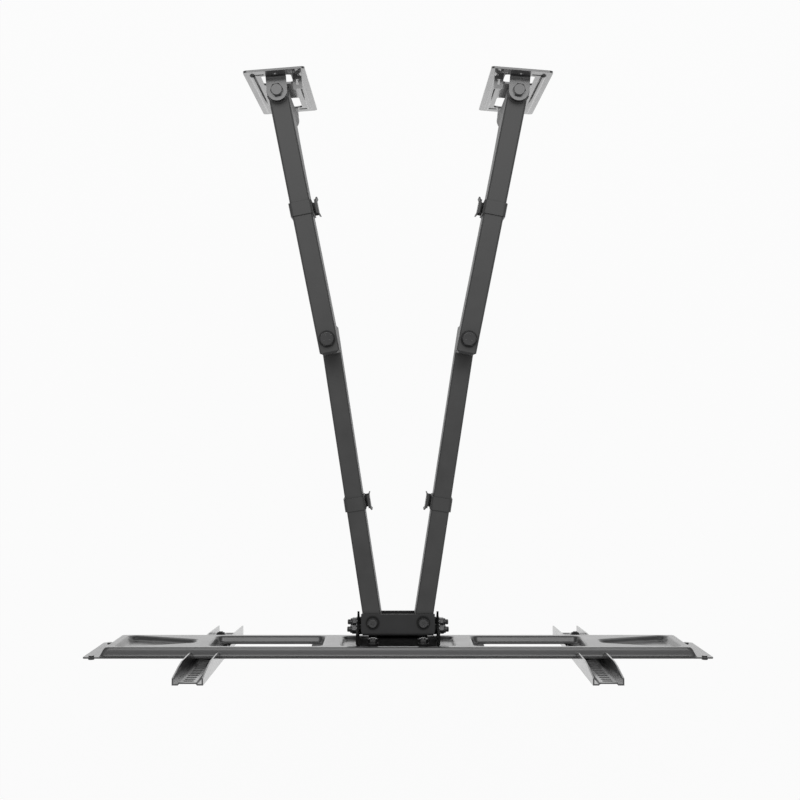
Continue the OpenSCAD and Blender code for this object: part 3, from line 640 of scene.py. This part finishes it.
class Detail:
    """Adds small mesh pieces that ride on the mount's bodies."""

    def __init__(self, sizes: MountSizes, shelf: FinishShelf) -> None:
        """Keeps the sizes and the finishes.

        Args:
            sizes: The mount's sizes.
            shelf: The finishes.
        """
        self.sizes = sizes
        self.shelf = shelf

    def add(
        self,
        name: str,
        parts: Sequence[MeshPart],
        body: str,
        finish: Finish,
        slot: str,
        smooth: bool = True,
    ) -> bpy.types.Object:
        """Joins parts into one object, dresses it and sets it riding.

        Args:
            name: The piece's name.
            parts: Points and faces of each part.
            body: The body that it moves with.
            finish: Its finish.
            slot: The record's slot for it; not used.
            smooth: Whether it is shaded smooth.

        Returns:
            The piece.
        """
        verts: List[Vector] = []
        faces: List[List[int]] = []
        for points, rows in parts:
            base = len(verts)
            verts.extend(points)
            faces.extend([[base + i for i in row] for row in rows])
        obj = mesh_object(name, verts, faces, smooth)
        self.shelf.dress(obj, finish)
        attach(obj, body)
        LOG.info("piece %s: %d faces on %s", name, len(obj.data.polygons), body)
        return obj


@dataclass
class RearArms:
    """Weld beads, bolt-head marks and elbow threads of the rear arms."""

    detail: Detail
    bead: WeldBead = WeldBead(width=3.2, ripple=0.12, ripple_pitch=2.4)
    weld_off: float = 0.2
    weld_steps_each_way: int = 30
    weld_step_degrees: float = 2.75
    head_top: float = 10.0
    mark_rows: Profile = ((3.0, 0.5), (3.4, 1.0), (6.4, 1.0), (6.8, 0.5))
    mark_section: Profile = ((-0.6, -0.2), (-0.45, 0.3), (0.45, 0.3), (0.6, -0.2))
    mark_degrees: Tuple[int, ...] = (90, 210, 330)
    nut_low: float = 15.5

    def build(self) -> None:
        """Adds the pieces of both sides."""
        for side in Side:
            self._weld(side)
            self._head_marks(side)
            self._elbow_thread(side)

    def _weld(self, side: Side) -> None:
        """Lays the bead where the tube's end is welded round the post.

        Args:
            side: Which arm.
        """
        s = self.detail.sizes
        path, bulge = [], []
        for k in range(-self.weld_steps_each_way, self.weld_steps_each_way + 1):
            a = math.radians(-90 + k * self.weld_step_degrees)
            rim = Vector((math.cos(a), math.sin(a), 0.0))
            path.append(rim * (s.post_r + self.weld_off) + Vector((0, 0, s.rear_top)))
            bulge.append(rim + Vector((0, 0, 1.0)))
        parts = [self.bead.mesh_part(path, bulge, s.rear_arm.matrix(side))]
        self.detail.add(f"post_weld_{side.word}", parts, f"rear_{side.word}", WELD, "black_tube")

    def _head_marks(self, side: Side) -> None:
        """Raises three small bars on the elbow bolt's head.

        Args:
            side: Which arm.
        """
        s = self.detail.sizes
        place = s.front_arm.matrix(side)
        top = s.rear_top + self.head_top
        parts = []
        for degrees in self.mark_degrees:
            spin = Matrix.Rotation(math.radians(degrees), 4, "Z")
            rows = [[place @ (spin @ Vector((x, dy * grow, top + dz * grow))) for dy, dz in self.mark_section]
                    for x, grow in self.mark_rows]
            parts.append(swept(rows))
        name, body = f"elbow_head_marks_{side.word}", f"rear_{side.word}"
        self.detail.add(name, parts, body, BLACK_OXIDE, "black_fastener", smooth=False)

    def _elbow_thread(self, side: Side) -> None:
        """Winds the thread that shows below the elbow nut.

        Args:
            side: Which arm.
        """
        s = self.detail.sizes
        end = ThreadedEnd(radius=6.0, pitch=1.75, start=-s.front_top - self.nut_low, length=3.0)
        parts = [end.mesh_part(s.front_arm.matrix(side))]
        self.detail.add(f"elbow_thread_{side.word}", parts, f"rear_{side.word}", BLACK_OXIDE, "black_fastener")


@dataclass
class HubThreads:
    """The thread ends of the hub pivots, and the lock nuts' collars and thread ends on the tilt and lock bolts."""

    detail: Detail
    pivot_end: ThreadedEnd = ThreadedEnd(radius=5.0, pitch=1.5, start=-42.1, length=2.0)
    collar: Profile = ((-0.3, 5.9), (1.4, 5.9), (2.4, 5.6), (2.9, 4.9), (3.0, 4.1))
    shank: Profile = ((2.0, 3.9), (6.6, 3.9), (7.3, 3.2))

    def build(self) -> None:
        """Adds the ends of both sides as one piece."""
        s = self.detail.sizes
        parts = []
        for side in Side:
            parts.append(self.pivot_end.mesh_part(Placement((-s.hub_pivot_x, s.hub_y, 0.0)).matrix(side)))
        for side in Side:
            for y, z in ((0.0, 0.0), s.lock_offset):
                place = Placement((0.0, s.tilt_y + y, -s.tilt_drop + z)).matrix(side)
                parts += self._lock_nut_end(place @ Matrix.Rotation(math.radians(-90), 4, "Y"), s.tilt_nut_end)
        self.detail.add("hub_threads", parts, "hub", BLACK_OXIDE, "black_fastener")

    def _lock_nut_end(self, place: Matrix, start: float) -> List[MeshPart]:
        """Makes the collar of a locking nut, and the threaded end that stands out of it.

        Args:
            place: The matrix from local millimetres to the mount's frame, with the bolt along Z.
            start: Where the nut's hexagon ends.

        Returns:
            The points and faces of collar, shank and thread.
        """
        solids = [turned([(start + z, r) for z, r in profile], place) for profile in (self.collar, self.shank)]
        collar_end, shank_radius = self.collar[-1][0], self.shank[0][1]
        thread = ThreadedEnd(radius=shank_radius, pitch=1.25, start=start + collar_end, length=3.9, depth=0.35)
        return [*solids, thread.mesh_part(place)]


@dataclass(frozen=True)
class RoundedPatch:
    """A convex outline grown by a radius, whose signed distance shapes one pressing."""

    corners: Profile
    radius: float

    def distance(self, x: float, z: float) -> float:
        """Measures how far a point lies outside the outline.

        Args:
            x: The point along the plate.
            z: The point across the plate.

        Returns:
            The distance, negative inside.
        """
        nearest, inside = math.inf, True
        for (ax, az), (bx, bz) in zip(self.corners, self.corners[1:] + self.corners[:1]):
            ex, ez, px, pz = bx - ax, bz - az, x - ax, z - az
            t = max(0.0, min(1.0, (px * ex + pz * ez) / (ex * ex + ez * ez)))
            nearest = min(nearest, math.hypot(px - t * ex, pz - t * ez))
            inside = inside and ex * pz - ez * px >= 0.0
        return (-nearest if inside else nearest) - self.radius


def box_patch(x0: float, x1: float, half_z: float, radius: float) -> RoundedPatch:
    """A rectangle with round corners.

    Args:
        x0: Its lower X.
        x1: Its upper X.
        half_z: Half its height.
        radius: The corner radius.

    Returns:
        The outline.
    """
    r = radius
    return RoundedPatch(((x0 + r, r - half_z), (x1 - r, r - half_z), (x1 - r, half_z - r), (x0 + r, half_z - r)), r)


def soft_min(a: float, b: float, blend: float) -> float:
    """The lower of two heights, rounded where they cross.

    Args:
        a: One height.
        b: The other.
        blend: The difference below which they blend.

    Returns:
        The height.
    """
    share = max(blend - abs(a - b), 0.0) / blend
    return min(a, b) - share * share * blend / 4


def soft_max(a: float, b: float, blend: float) -> float:
    """The higher of two heights, rounded where they cross."""
    return -soft_min(-a, -b, blend)


def stepped(spans: Profile) -> List[float]:
    """Lines from zero outwards, mirrored, with a chosen spacing in each span.

    Args:
        spans: Rows of a span's outer end and its spacing.

    Returns:
        The sorted positions.
    """
    lines, start = [0.0], 0.0
    for end, spacing in spans:
        count = max(1, round((end - start) / spacing))
        lines += [start + (end - start) * (k + 1) / count for k in range(count)]
        start = end
    return sorted({round(sign * v, GRID_DECIMALS) for v in lines for sign in (-1, 1)})


@dataclass(frozen=True)
class Pressing:
    """A part of the tray's floor that is pressed back towards the lip, with walls that run out over a width."""

    floor: RoundedPatch
    depth: float
    run: float


@dataclass
class CarrierSheet:
    """The pressed carrier plate as one sheet of even thickness with rounded folds."""

    detail: Detail
    half: Tuple[float, float] = (459.0, 65.0)
    foot: Tuple[float, float] = (437.0, 60.4)
    sheet: float = 2.0
    top: float = 15.0
    side_run: float = 3.0
    end_run: float = 7.0
    corner_radius: float = 3.0
    window: RoundedPatch = box_patch(131.0, 268.0, 42.0, 9.0)
    pressings: Tuple[Pressing, ...] = (
        Pressing(box_patch(115.0, 277.0, 43.0, 9.0), 9.5, 3.0),
        Pressing(box_patch(-82.0, 82.0, 42.0, 9.0), 5.0, 3.0),
        Pressing(RoundedPatch(((316.0, -6.0), (404.0, -39.0), (404.0, 39.0), (316.0, 6.0)), 8.0), 7.0, 3.4),
    )
    wall_blend: float = 16.0
    crest_blend: float = 6.5
    floor_blend: float = 3.0
    mouth_blend: float = 4.5
    foot_blend: float = 4.0
    pressing_reach: float = 14.0
    lip_below: float = -8.0
    slope_step: float = 0.15
    snap_step: float = 0.05
    window_snap: float = 4.5
    rim_snap: float = 3.0
    sharp_degrees: float = 50.0
    lines_along: Profile = (
        (78, 3.5), (88, 1.0), (111, 3.0), (134, 1.2), (262, 3.5), (282, 1.2), (300, 2.5), (418, 2.0),
        (426, 1.6), (440, 1.2), (459, 3.0))
    lines_across: Profile = ((38, 2.0), (49, 0.8), (55, 1.5), (62.4, 0.4), (65, 0.8))

    def height(self, x: float, z: float) -> float:
        """The back face's distance from the lip's front.

        Args:
            x: The point along the plate.
            z: The point across the plate.

        Returns:
            The height.
        """
        x, z = abs(x), abs(z)
        side = (self.foot[1] - z) * self.top / self.side_run
        end = (self.foot[0] - x) * self.top / self.end_run
        h = soft_min(soft_min(side, end, self.wall_blend), self.top, self.crest_blend)
        for pressing in self.pressings:
            away = pressing.floor.distance(x, z)
            if away < self.pressing_reach:
                low = self.top - pressing.depth
                wall = low + away * pressing.depth / pressing.run
                h = soft_min(h, soft_max(low, wall, self.floor_blend), self.mouth_blend)
        return soft_max(h, self.sheet, self.foot_blend) if h > self.lip_below else self.sheet

    def normal(self, x: float, z: float) -> Vector:
        """The back face's outward direction.

        Args:
            x: The point along the plate.
            z: The point across the plate.

        Returns:
            The direction, of length one.
        """
        e = self.slope_step
        slope_x = (self.height(x + e, z) - self.height(x - e, z)) / (2 * e)
        slope_z = (self.height(x, z + e) - self.height(x, z - e)) / (2 * e)
        return Vector((-slope_x, 1.0, -slope_z)).normalized()

    def _outward(self, patch: RoundedPatch, x: float, z: float) -> Tuple[float, float]:
        """Finds which way leads straight away from an outline that is mirrored at the plate's middle.

        Args:
            patch: The outline.
            x: The point along the plate.
            z: The point across the plate.

        Returns:
            The direction along and across the plate, of length one.
        """
        e = self.snap_step
        along = patch.distance(abs(x + e), z) - patch.distance(abs(x - e), z)
        across = patch.distance(abs(x), z + e) - patch.distance(abs(x), z - e)
        length = math.hypot(along, across) or 1.0
        return along / length, across / length

    def _snapped(self, x: float, z: float) -> Tuple[float, float]:
        """Moves a grid point that lies just inside a window's edge, or outside the plate's corner, onto it.

        Args:
            x: The point along the plate.
            z: The point across the plate.

        Returns:
            The moved point.
        """
        rim = box_patch(-self.half[0], self.half[0], self.half[1], self.corner_radius)
        for patch, nearest, farthest in ((self.window, -self.window_snap, 0.0), (rim, 0.0, self.rim_snap)):
            away = patch.distance(abs(x), z)
            if nearest < away < farthest:
                along, across = self._outward(patch, x, z)
                x, z = x - away * along, z - away * across
        return x, z

    def _both_faces(self, x: float, z: float) -> Tuple[Vector, Vector]:
        """Finds the sheet's two faces at a grid point.

        Args:
            x: The point along the plate.
            z: The point across the plate.

        Returns:
            The points of the back and the front, in the head's frame.
        """
        s = self.detail.sizes
        x, z = self._snapped(x, z)
        back = Vector((x, self.height(x, z), z))
        front = back - self.normal(x, z) * self.sheet
        offset = Vector((0.0, s.tv_y, s.tv_z))
        return back + offset, front + offset

    def build(self) -> None:
        """Presses the sheet and puts it in place of its solid."""
        place = self.detail.sizes.head.matrix(Side.LEFT)
        xs, zs = stepped(self.lines_along), stepped(self.lines_across)
        cells = [(i, j) for i in range(len(xs) - 1) for j in range(len(zs) - 1)
                 if self.window.distance(abs(xs[i] + xs[i + 1]) / 2, (zs[j] + zs[j + 1]) / 2) > 0.0]
        back: List[Vector] = []
        front: List[Vector] = []
        number: Dict[Tuple[int, int], int] = {}
        rings: List[List[int]] = []
        for i, j in cells:
            keys = ((i, j), (i + 1, j), (i + 1, j + 1), (i, j + 1))
            for key in keys:
                if key not in number:
                    number[key] = len(back)
                    for store, point in zip((back, front), self._both_faces(xs[key[0]], zs[key[1]])):
                        store.append(place @ point)
            rings.append([number[key] for key in keys])
        shift = len(back)
        faces = [face for ring in rings for face in (ring, [shift + v for v in ring[::-1]])]
        edges = [edge for ring in rings for edge in zip(ring, ring[1:] + ring[:1])]
        known = set(edges)
        faces += [[b, a, shift + a, shift + b] for a, b in edges if (b, a) not in known]
        sheet = self.detail.add("carrier_sheet", [(back + front, faces)], "head", CARRIER_COAT, "black_sheet")
        sheet.data.set_sharp_from_angle(angle=math.radians(self.sharp_degrees))
        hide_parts("tv_plate")


@dataclass
class YokeFlange:
    """The flange folded back from the lower edge of the yoke's base."""

    detail: Detail
    half: float = 44.0
    depth: float = 11.0
    sheet: float = 3.0
    sink: float = 0.4
    chamfer: float = 0.5
    stations: int = 4
    bend_degrees: Tuple[int, ...] = (90, 60, 30, 0)

    def build(self) -> None:
        """Folds the flange and runs it along the yoke."""
        s = self.detail.sizes
        place = s.head.matrix(Side.LEFT)
        y0, z0, t, c = s.yoke_base_in, s.yoke_low, self.sheet, self.chamfer
        end = y0 + self.depth
        profile = [(y0 - self.sink, z0), (end - c, z0), (end, z0 + c), (end, z0 + t - c), (end - c, z0 + t)]
        for a in map(math.radians, self.bend_degrees):
            profile.append((y0 + t * (1 - math.cos(a)) - self.sink, z0 + t + t * (1 - math.sin(a))))
        xs = [-self.half + 2 * self.half * k / self.stations for k in range(self.stations + 1)]
        part = swept([[place @ Vector((x, y, z)) for y, z in profile] for x in xs])
        # The flange takes the yoke's painted-shade finish.
        self.detail.add("yoke_flange", [part], "head", YOKE_SHADE_COAT, "black_sheet", smooth=False)


@dataclass
class LockKnobs:
    """Fluted thumb screws that stand for the plain lock screws of the rails."""

    detail: Detail
    flutes: int = 14
    points_per_flute: int = 8
    flute_gain: float = 0.22
    flute_limit: float = 0.09
    radius: float = 8.5
    grip: Profile = ((0.0, 0.80), (0.8, 0.93), (1.6, 1.0), (7.4, 1.0), (8.2, 0.94), (9.0, 0.85))
    below_plate: float = 24.0
    axis_y: float = 6.3
    shank_radius: float = 3.0
    shank_sink: float = 0.5
    shank_end: float = 2.9
    tip_radius: float = 2.4
    tip_end: float = 3.4
    thread_pitch: float = 1.0
    thread_start: float = 3.2
    thread_length: float = 23.5
    thread_depth: float = 0.16

    def build(self) -> None:
        """Adds both knobs in place of their solids."""
        for side in Side:
            self._knob(side)

    def _grip(self, place: Matrix, low: float) -> MeshPart:
        """Makes the fluted grip.

        Args:
            place: The matrix from local millimetres to the mount's frame.
            low: The height of the grip's upper end.

        Returns:
            Its points and faces.
        """
        foot = low - self.grip[-1][0]
        steps = self.flutes * self.points_per_flute
        rows = []
        for rise, share in self.grip:
            ring = []
            for k in range(steps):
                a = 2 * math.pi * k / steps
                groove = self.flute_gain * (1 - abs(math.cos(a * self.flutes / 2))) ** 2
                r = self.radius * share * (1 - min(groove, self.flute_limit))
                ring.append(place @ Vector((r * math.cos(a), r * math.sin(a), foot + rise)))
            rows.append(ring)
        return swept(rows)

    def _knob(self, side: Side) -> None:
        """Builds one knob with its threaded shank.

        Args:
            side: Which rail.
        """
        s = self.detail.sizes
        edge = -s.tv_half_height
        low = edge - self.below_plate
        axis = Matrix.Translation(Vector((-s.rail_x, s.tv_y + self.axis_y, s.tv_z)))
        place = side.mirror @ s.head.matrix(Side.LEFT) @ axis
        shank_end, tip_end = edge + self.shank_end, edge + self.tip_end
        shank = turned(((low - self.shank_sink, self.shank_radius), (shank_end, self.shank_radius)), place)
        tip = turned(((shank_end, self.tip_radius), (tip_end, self.tip_radius)), place)
        thread = ThreadedEnd(
            self.shank_radius, self.thread_pitch, low + self.thread_start, self.thread_length, self.thread_depth)
        parts = [self._grip(place, low), shank, tip, thread.mesh_part(place)]
        piece = self.detail.add(f"lock_knob_{side.word}", parts, f"rail_{side.word}", MOULDED, "black_plastic")
        for polygon in piece.data.polygons:
            polygon.use_smooth = len(polygon.vertices) == 4
        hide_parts(f"rail_lock_screw_{side.word}")


@dataclass(frozen=True)
class Studio:
    """The camera straight above, the white floor and the soft light. Floor and lamp are in metres."""

    focal_px: float = 1207.0
    frame_px: float = 800.0
    sensor_mm: float = 36.0
    camera: Point = (0.0, -428.2, 1820.0)
    clip: Tuple[float, float] = (0.05, 60.0)
    vanishing_px: Tuple[float, float] = (398.0, 375.0)
    floor_z: float = -0.62
    floor_reach: float = 12.0
    floor_grey: float = 0.9
    floor_glow: float = 0.93
    sky: Profile = ((0.0, 0.15), (0.45, 0.25), (0.85, 0.55))
    lamp_watts: float = 21.0
    lamp_size: Tuple[float, float] = (2.2, 1.3)
    lamp_place: Point = (0.0, 0.75, 2.1)
    lamp_aim: Point = (0.0, 0.15, 0.0)

    def build(self) -> None:
        """Sets up camera, floor, world and lamp."""
        self._camera()
        self._floor()
        self._world()
        self._lamp()

    def _camera(self) -> None:
        """Puts the camera where the photograph was taken from."""
        data = bpy.data.cameras.new("photo_camera")
        data.sensor_width = self.sensor_mm
        data.lens = self.sensor_mm * self.focal_px / self.frame_px
        data.shift_x = (self.frame_px / 2 - self.vanishing_px[0]) / self.frame_px
        data.shift_y = (self.vanishing_px[1] - self.frame_px / 2) / self.frame_px
        data.clip_start, data.clip_end = self.clip
        camera = bpy.data.objects.new("photo_camera", data)
        camera.location = Vector(self.camera) * MM
        bpy.context.scene.collection.objects.link(camera)
        bpy.context.scene.camera = camera

    @staticmethod
    def _seen(nodes: NodeTree) -> Socket:
        """A value of 1 for rays from the camera or by way of gloss or glass.

        Args:
            nodes: The material's nodes.

        Returns:
            The value.
        """
        path = nodes.add("ShaderNodeLightPath")
        total = path.outputs["Is Camera Ray"]
        for name in ("Is Glossy Ray", "Is Transmission Ray"):
            total = nodes.combine("MAXIMUM", total, path.outputs[name])
        return total

    def _floor(self) -> None:
        """Lays a white floor well below the mount."""
        nodes = NodeTree(bpy.data.materials.new("white_floor"))
        matt = nodes.add("ShaderNodeBsdfDiffuse", Color=(self.floor_grey, self.floor_grey, self.floor_grey, 1.0))
        glow = nodes.add("ShaderNodeEmission", Color=(1.0, 1.0, 1.0, 1.0), Strength=1.0)
        mix = nodes.add("ShaderNodeMixShader")
        nodes.wire(nodes.combine("MULTIPLY", self._seen(nodes), self.floor_glow), mix.inputs["Fac"])
        nodes.wire(matt.outputs["BSDF"], mix.inputs[1])
        nodes.wire(glow.outputs["Emission"], mix.inputs[2])
        nodes.end("ShaderNodeOutputMaterial", mix.outputs["Shader"])
        reach = self.floor_reach
        corners = [Vector((x * reach, y * reach, self.floor_z)) for x, y in ((-1, -1), (1, -1), (1, 1), (-1, 1))]
        floor = mesh_object("floor", corners, [[0, 1, 2, 3]], False)
        floor.data.materials.append(nodes.owner)

    def _world(self) -> None:
        """Makes the surroundings dark at the horizon and brighter overhead, and white to the camera."""
        world = bpy.data.worlds.new("studio")
        bpy.context.scene.world = world
        nodes = NodeTree(world)
        split = nodes.add("ShaderNodeSeparateXYZ")
        ramp = nodes.add("ShaderNodeValToRGB")
        ramp.color_ramp.elements.new(0.5)
        for element, (place, level) in zip(ramp.color_ramp.elements, self.sky):
            element.position = place
            element.color = (level, level, level, 1.0)
        light = nodes.add("ShaderNodeBackground")
        white = nodes.add("ShaderNodeBackground", Color=(1.0, 1.0, 1.0, 1.0))
        mix = nodes.add("ShaderNodeMixShader")
        nodes.wire(nodes.add("ShaderNodeTexCoord").outputs["Generated"], split.inputs["Vector"])
        nodes.wire(split.outputs["Z"], ramp.inputs["Fac"])
        nodes.wire(ramp.outputs["Color"], light.inputs["Color"])
        nodes.wire(nodes.add("ShaderNodeLightPath").outputs["Is Camera Ray"], mix.inputs["Fac"])
        nodes.wire(light.outputs["Background"], mix.inputs[1])
        nodes.wire(white.outputs["Background"], mix.inputs[2])
        nodes.end("ShaderNodeOutputWorld", mix.outputs["Shader"])

    def _lamp(self) -> None:
        """Hangs a large soft lamp over the wall side, so that the arms' tops shade off towards the head."""
        data = bpy.data.lights.new("soft_box", "AREA")
        data.shape = "RECTANGLE"
        data.size, data.size_y = self.lamp_size
        data.energy = self.lamp_watts
        lamp = bpy.data.objects.new("soft_box", data)
        lamp.location = self.lamp_place
        towards = Vector(self.lamp_aim) - Vector(self.lamp_place)
        lamp.rotation_euler = towards.to_track_quat("-Z", "Y").to_euler()
        bpy.context.scene.collection.objects.link(lamp)


class WallMount:
    """The whole mount: its solids dressed slot by slot, and the pieces that detail them."""

    def __init__(self, frame: Dict[str, object]) -> None:
        """Keeps the loaded frame.
        """
        self.frame = frame
        self.shelf = FinishShelf()
        self.detail = Detail(MountSizes(), self.shelf)

    def dress_solids(self) -> None:
        """Gives every solid its own finish, or that of its slot in the record."""
        slots = {row["node"]: row["material_slot"] for row in self.frame["record"]["subparts"]}
        for name, obj in self.frame["nodes"].items():
            self.shelf.dress(obj, FINISH_OF_NODE.get(name, FINISH_OF_SLOT[slots[name]]))
            LOG.info("solid %s: %s", name, slots[name])

    def build(self) -> None:
        """Dresses the solids and adds the detail pieces."""
        self.dress_solids()
        for assembly in (RearArms, HubThreads, YokeFlange, CarrierSheet, LockKnobs):
            assembly(self.detail).build()


def main() -> None:
    """Builds the scene in order."""
    logging.basicConfig(level=logging.INFO, format="%(message)s")
    bpy.context.scene.view_settings.view_transform = "Standard"
    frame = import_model()
    Studio().build()
    WallMount(frame).build()


if __name__ == "__main__":
    main()
